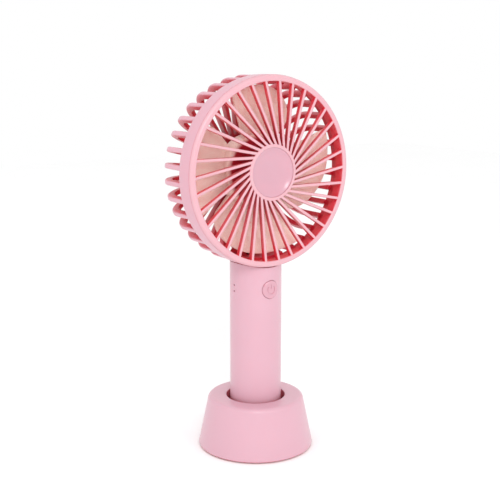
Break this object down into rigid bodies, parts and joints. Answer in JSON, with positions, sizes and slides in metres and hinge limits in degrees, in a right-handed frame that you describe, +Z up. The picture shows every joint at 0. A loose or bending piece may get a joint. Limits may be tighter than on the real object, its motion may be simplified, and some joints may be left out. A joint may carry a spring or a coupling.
{
  "type": "handheld electric fan",
  "caption": "Pink rechargeable handheld fan with a caged round head on a plain cylindrical handle, standing in a small conical stand; the impeller spins and the power button presses.",
  "frame": {"origin": "centre of the stand's underside, on the surface that the fan stands on", "axes": "+Z up along the handle's axis; the head's axis lies along Y and the fan blows towards -Y; +X to the right seen from the front"},
  "size_m": [0.1036, 0.0652, 0.21],
  "materials": {
    "body_pink": "fine satin texture",
    "grille_pink": "satin",
    "badge_pink": "satin gloss",
    "blade_peach": "satin, slightly translucent",
    "inner_white": "plain",
    "foot_rubber": "matt",
    "screw_steel": "zinc plated",
    "motor_steel": "nickel plated",
    "nickel": "bare",
    "bronze": "sintered",
    "copper": "bare copper",
    "enamel_copper": "enamelled wire",
    "ferrite": "pressed ferrite",
    "core_steel": "stacked laminations",
    "cell_wrap": "shrink film",
    "board_green": "solder mask",
    "black_plastic": "moulded",
    "clear_plastic": "clear",
    "led_lens": "diffusing",
    "wire_red": "insulation",
    "wire_black": "insulation"
  },
  "bodies": {
    "stand": {"stand_shell": "body_pink", "stand_base_plate": "body_pink", "stand_foot_pad": "foot_rubber"},
    "fan": {"handle_sleeve": "body_pink", "handle_bottom_cap": "body_pink", "cap_screw": "screw_steel", "chassis": "inner_white", "chassis_screw_left": "screw_steel", "chassis_screw_right": "screw_steel", "battery_cell": "cell_wrap", "battery_tab_negative": "nickel", "battery_tab_positive": "nickel", "circuit_board": "board_green", "switch_body": "black_plastic", "light_pipe": "clear_plastic", "indicator_light_1": "led_lens", "indicator_light_2": "led_lens", "charge_chip": "black_plastic", "power_inductor": "ferrite", "port_shell": "nickel", "port_tongue": "black_plastic", "battery_wire_positive": "wire_red", "battery_wire_negative": "wire_black", "motor_wire_positive": "wire_red", "motor_wire_negative": "wire_black", "front_grille": "grille_pink", "centre_badge": "badge_pink", "rear_cage": "body_pink", "rear_motor_cover": "body_pink", "motor_can": "motor_steel", "motor_end_cap": "inner_white", "motor_bush_front": "bronze", "motor_bush_rear": "bronze", "motor_magnet": "ferrite", "motor_screw_left": "screw_steel", "motor_screw_right": "screw_steel", "motor_brush_left": "copper", "motor_brush_right": "copper", "motor_terminal_left": "bronze", "motor_terminal_right": "bronze"},
    "impeller": {"impeller": "blade_peach", "motor_shaft": "motor_steel", "armature_core": "core_steel", "armature_coil_1": "enamel_copper", "armature_coil_2": "enamel_copper", "armature_coil_3": "enamel_copper", "commutator": "copper"},
    "button": {"power_button": "grille_pink", "switch_plunger": "black_plastic"}
  },
  "joints": [
    {"name": "fan_lift", "type": "slide", "parent": "stand", "child": "fan", "axis": [0, 0, 1], "range_m": [0, 0.04]},
    {"name": "impeller_spin", "type": "hinge", "parent": "fan", "child": "impeller", "pos_m": [0, 0, 0.1582], "axis": [0, 1, 0], "continuous": true},
    {"name": "power_button_press", "type": "slide", "parent": "fan", "child": "button", "axis": [0, 1, 0], "range_m": [0, 0.0005], "stiffness_N_per_m": 3000}
  ]
}
